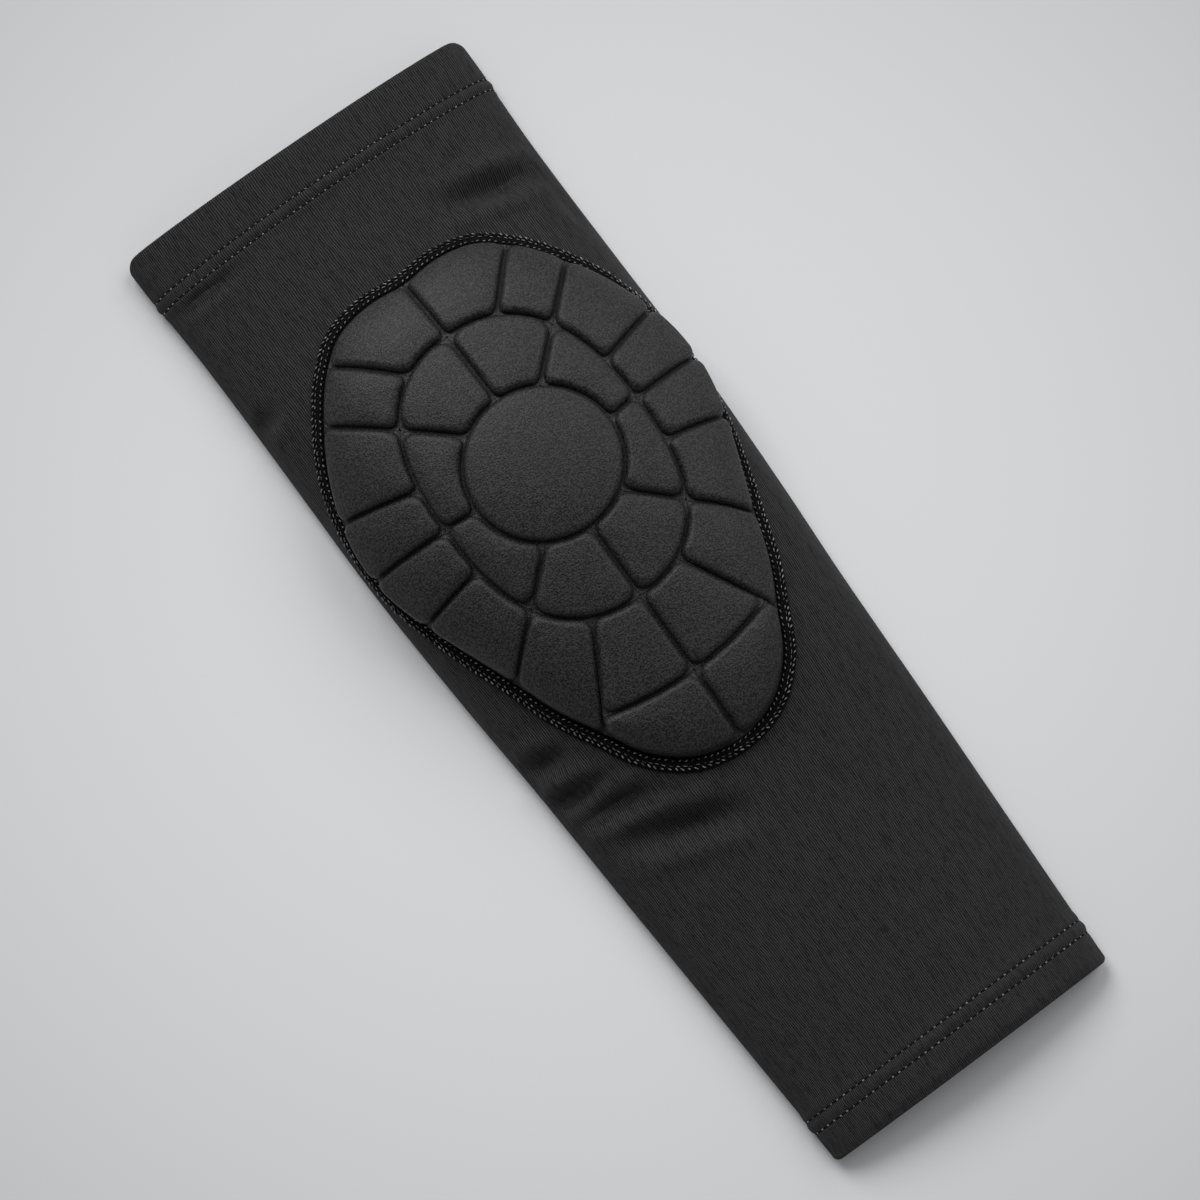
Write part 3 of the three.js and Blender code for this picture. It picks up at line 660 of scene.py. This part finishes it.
def block_outline(inner, outer, seam_side, draw_in, corner, shrink):
    """A rounded outline between two curves of the pattern, drawn in from the grooves, and its share of the
    depth between them."""

    def at(u, v):
        return inner(u) + (outer(u) - inner(u)) * np.asarray(v)[..., None]

    def size(a, b):
        return np.linalg.norm(a - b, axis=-1)

    zero, one, half = np.array(0.0), np.array(1.0), np.array(0.5)
    wide, deep = size(at(zero, half), at(one, half)), size(at(half, zero), at(half, one))
    arcs = []
    for start, right, far in ((-90, 1, 0), (0, 1, 1), (90, 0, 1), (180, 0, 0)):
        radius = min(corner, SEAM_CORNER) if seam_side and far else corner
        cu, cv = min(radius / wide, CORNER_LIMIT), min(radius / deep, CORNER_LIMIT)
        turn = np.radians(start + np.linspace(0, 90, OUTLINE_POINTS["corner"]))
        at_u = right + cu * (1 - 2 * right + np.cos(turn))
        at_v = far + cv * (1 - 2 * far + np.sin(turn))
        arcs.append(np.stack([at_u, at_v], -1))
    loop = []
    for arc, after in zip(arcs, arcs[1:] + arcs[:1]):
        shares = np.linspace(0, 1, OUTLINE_POINTS["side"])[1:-1, None]
        loop += [arc, arc[-1] + (after[0] - arc[-1]) * shares]
    u, v = (0.5 + (np.concatenate(loop) - 0.5) * shrink).T
    mu = (draw_in + GROOVE / 2) / size(at(0 * v, v), at(0 * v + 1, v))
    span = size(at(u, 0 * u), at(u, 0 * u + 1))
    inner_margin = (draw_in + GROOVE / 2) / span
    outer_margin = (draw_in + (0 if seam_side else GROOVE / 2)) / span
    depth = inner_margin + v * (1 - inner_margin - outer_margin)
    return at(mu + u * (1 - 2 * mu), depth), depth


def outer_thinning(flat):
    side, end, side_up_to, end_from = OUTER_THINNING.values()
    off_level = np.abs(np.degrees(np.arctan2(flat[:, 1] - KNEE, flat[:, 0])))
    return side + (end - side) * ease(side_up_to, end_from, off_level)


def block_rings(outline, seam_side, crown):
    """Rings of a block from its foot over its edge to the middle of its face."""
    steps = [(d, c, 1.0, up) for d, c, up in zip(*BLOCK_EDGE.values())]
    last = steps[-1]
    steps += [(last[0], last[1], shrink, 1.0) for shrink in FACE_SHARES]
    rings = []
    for draw_in, corner, shrink, up in steps:
        flat, depth = outline(draw_in, corner, shrink)
        thin = 1 - (outer_thinning(flat) * depth**3 if seam_side else 0 * depth)
        top = BLOCK_BASE + (BLOCK_TOP - BLOCK_BASE) * thin
        floor = top - GROOVE_DEPTH
        if seam_side:
            floor = floor + (SEAM_LIP["lift"] - floor) * ease(SEAM_LIP["from_depth"], 1.0, depth)
        lift = floor + (top - floor) * up + crown["height"] * (1 - shrink ** crown["power"])
        rings.append(wrap(flat[:, 0], flat[:, 1], lift))
        if len(rings) == 1:
            rings.insert(0, wrap(flat[:, 0], flat[:, 1], np.full(len(flat), FOOT_LIFT)))
    return np.array(rings)


def foam_block(name, outline, crown, seam_side=False, mirrored=False):
    rings = block_rings(outline, seam_side, crown)
    count = rings.shape[1]
    points = rings.reshape(-1, 3)
    faces = skin_faces(len(rings), count).tolist()
    faces += [list(range(count))[::-1], list(range(len(points) - count, len(points)))]
    if mirrored:
        points = points * (-1, 1, 1)
        faces = [face[::-1] for face in faces]
    block = new_piece("foam_" + name, points, faces, foam)
    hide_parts("pad_" + name)


def cap_outline(draw_in, corner, shrink):
    """The outline of the disc, which has no corners to round, and its share of the depth."""
    bearing = np.linspace(0, 360, OUTLINE_POINTS["cap"], endpoint=False)
    flat = from_knee(bearing, np.full(len(bearing), (CAP_RADIUS - GROOVE / 2 - draw_in) * shrink))
    return flat, np.full(len(bearing), 0.5)


foam_block("cap", cap_outline, CAP_CROWN)
# Pairs of blocks, the right one and its mirror image: name, whether it meets the seam, and its inner and
# outer curves.
pairs = []
for i in range(len(INNER_GROOVES["cap"]) - 1):
    a, b = [(INNER_GROOVES["cap"][k], INNER_GROOVES["ring"][k]) for k in (i, i + 1)]
    pairs.append((f"inner_%s_{i + 1}", False,
                  lambda u, a=a, b=b: from_knee(a[0] + (b[0] - a[0]) * u, CAP_RADIUS + 0 * u),
                  lambda u, a=a, b=b: on_ring(a[1] + (b[1] - a[1]) * u)))
for i in range(len(OUTER_GROOVES["ring"]) - 1):
    a, b = [(OUTER_GROOVES["ring"][k], OUTER_GROOVES["edge"][k]) for k in (i, i + 1)]
    pairs.append((f"outer_%s_{i + 1}", True,
                  lambda u, a=a, b=b: on_ring(a[0] + (b[0] - a[0]) * u),
                  lambda u, a=a, b=b: on_edge(a[1] + (b[1] - a[1]) * u)))
last_ring, last_edge = OUTER_GROOVES["ring"][-1], OUTER_GROOVES["edge"][-1]
shin_line = lambda u: on_shin(SHIN["half_width"] * (1 - u))
pairs.append(("outer_%s_8", False, lambda u: on_ring(last_ring - (90 + last_ring) * u), shin_line))
pairs.append(("outer_%s_9", True, shin_line, lambda u: on_edge(last_edge - (90 + last_edge) * u)))
for name, seam_side, inner, outer in pairs:
    outline = partial(block_outline, inner, outer, seam_side)
    foam_block(name % "right", outline, BLOCK_CROWN, seam_side)
    foam_block(name % "left", outline, BLOCK_CROWN, seam_side, mirrored=True)


# Floor, light and camera: pale matt paint with a painted pool of light, lighter round the middle and darker
# outwards, a large soft light from the thigh end and a weaker one from the right, seen from almost overhead.
# Sizes here are in metres.
FLOOR_REACH = 4.0
floor_paint = bpy.data.materials.new("matt_grey_paint_painted_light_pool")
floor_paint.use_nodes = True
floor_paint.node_tree.nodes.clear()
floor_place = add_node(floor_paint, "ShaderNodeTexCoord", {})
# Painted pool of light: the floor's colour darkens with the square of the distance from the middle, out to
# about 0.35 m.
spread = add_node(floor_paint, "ShaderNodeVectorMath", {
    0: floor_place.outputs["Object"], 1: floor_place.outputs["Object"]}, operation="DOT_PRODUCT")
floor_painted_light_pool = add_node(floor_paint, "ShaderNodeValToRGB", {"Fac": spread.outputs["Value"]})
floor_painted_light_pool.color_ramp.elements[0].color = linear("#e5e6e8")
floor_painted_light_pool.color_ramp.elements[1].position = 0.12
floor_painted_light_pool.color_ramp.elements[1].color = linear("#c5c6c8")
floor_shader = add_node(floor_paint, "ShaderNodeBsdfPrincipled", {
    "Base Color": floor_painted_light_pool.outputs["Color"], "Roughness": 0.9, "Specular IOR Level": 0.1})
add_node(floor_paint, "ShaderNodeOutputMaterial", {"Surface": floor_shader.outputs["BSDF"]})
floor_mesh = bpy.data.meshes.new("floor")
floor_corners = [(x * FLOOR_REACH, y * FLOOR_REACH, 0) for x, y in ((-1, -1), (1, -1), (1, 1), (-1, 1))]
floor_mesh.from_pydata(floor_corners, [], [(0, 1, 2, 3)])
floor_mesh.materials.append(floor_paint)
floor = bpy.data.objects.new("floor", floor_mesh)
bpy.context.scene.collection.objects.link(floor)

ROLL = math.radians(36.11)
TILT = math.radians(12.5)
LOOK_AT = Vector((-0.00745, 0.00402, 0.0))
DISTANCE = 1.122
photo_right = Vector((math.cos(ROLL), -math.sin(ROLL), 0))
photo_up = Vector((math.sin(ROLL), math.cos(ROLL), 0))

camera_data = bpy.data.cameras.new("camera")
camera_data.lens = 95.0
camera_data.sensor_width = 36.0
camera = bpy.data.objects.new("camera", camera_data)
back = Vector((0, 0, math.cos(TILT))) - photo_up * math.sin(TILT)
turn = Matrix((photo_right, back.cross(photo_right), back)).transposed()
camera.matrix_world = Matrix.Translation(LOOK_AT + back * DISTANCE) @ turn.to_4x4()
bpy.context.scene.collection.objects.link(camera)
bpy.context.scene.camera = camera

LIGHT_DISTANCE = 5.0
LIGHTS = {
    "name": ["key", "side"],
    "bearing": [90, 14],
    "elevation": [43, 44],
    "size": [3.4, 4.0],
    "energy": [172, 87],
}
for name, bearing, elevation, size, energy in zip(*LIGHTS.values()):
    light_data = bpy.data.lights.new(name, "AREA")
    light_data.shape = "DISK"
    light_data.size = size
    light_data.energy = energy
    light = bpy.data.objects.new(name, light_data)
    around, up = math.radians(bearing), math.radians(elevation)
    toward = Vector((math.cos(around) * math.cos(up), math.sin(around) * math.cos(up), math.sin(up)))
    light.location = toward * LIGHT_DISTANCE
    light.rotation_mode = "QUATERNION"
    light.rotation_quaternion = toward.to_track_quat("Z", "Y")
    bpy.context.scene.collection.objects.link(light)

# The room: pale walls under a darker ceiling, with the left wall in shade.
TOWARDS_SHADE = (-0.2, 0.0, 1.0)
world = bpy.data.worlds.new("studio")
world.use_nodes = True
world.node_tree.nodes.clear()
gaze = add_node(world, "ShaderNodeTexCoord", {})
shade = add_node(world, "ShaderNodeVectorMath", {
    0: gaze.outputs["Generated"], 1: TOWARDS_SHADE}, operation="DOT_PRODUCT")
room = add_node(world, "ShaderNodeValToRGB", {"Fac": shade.outputs["Value"]})
room.color_ramp.elements[0].color = linear("#e6e6e7")
room.color_ramp.elements[1].color = linear("#747475")
room_light = add_node(world, "ShaderNodeBackground", {"Color": room.outputs["Color"], "Strength": 0.62})
add_node(world, "ShaderNodeOutputWorld", {"Surface": room_light.outputs["Background"]})
bpy.context.scene.world = world
bpy.context.scene.view_settings.view_transform = "Standard"
